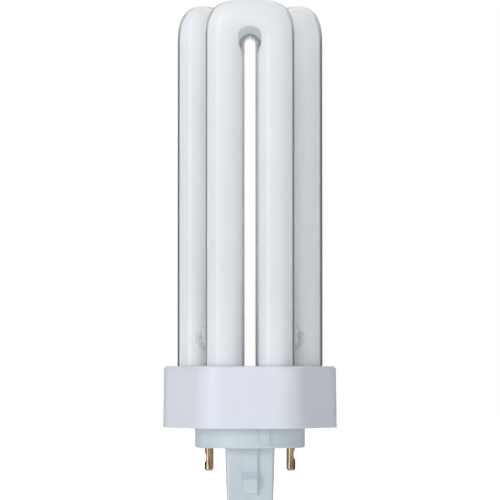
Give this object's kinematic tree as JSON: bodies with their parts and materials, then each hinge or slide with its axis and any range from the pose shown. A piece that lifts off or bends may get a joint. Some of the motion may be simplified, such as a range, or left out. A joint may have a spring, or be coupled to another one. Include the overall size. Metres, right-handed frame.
{
  "type": "four pin compact fluorescent lamp",
  "caption": "Compact fluorescent lamp: three squared U tubes of white coated glass in a ring, standing in a six sided holder on a round keyed plug with brass pins and a central post.",
  "frame": {"origin": "on the lamp's axis, in the boss's flat face that the four contact pins leave, at the centre of the pin pattern", "axes": "+Z along the lamp's axis from the plug towards the crests of the U tubes, +X from the left pair of pins to the right pair, -Y the side where the first U tube stands square to the viewer"},
  "size_m": [0.0488, 0.0449, 0.14],
  "materials": {
    "coated_glass": "clear glass, coated white inside",
    "white_plastic": "moulded, satin",
    "grey_plastic": "moulded, satin",
    "cement": "poured, rough",
    "pin_brass": "drawn and polished",
    "lead_metal": "drawn nickel iron wire",
    "sleeve": "matt silicone"
  },
  "bodies": {
    "root": {"discharge_tube": "coated_glass", "tube_holder": "white_plastic", "basing_cement": "cement", "plug_base": "grey_plastic", "contact_pin_front_left": "pin_brass", "contact_pin_front_right": "pin_brass", "contact_pin_rear_left": "pin_brass", "contact_pin_rear_right": "pin_brass", "lead_wire_front_left": "lead_metal", "lead_wire_front_right": "lead_metal", "lead_wire_rear_left": "lead_metal", "lead_wire_rear_right": "lead_metal", "lead_sleeve_front_left": "sleeve", "lead_sleeve_front_right": "sleeve", "lead_sleeve_rear_left": "sleeve", "lead_sleeve_rear_right": "sleeve"}
  },
  "joints": []
}
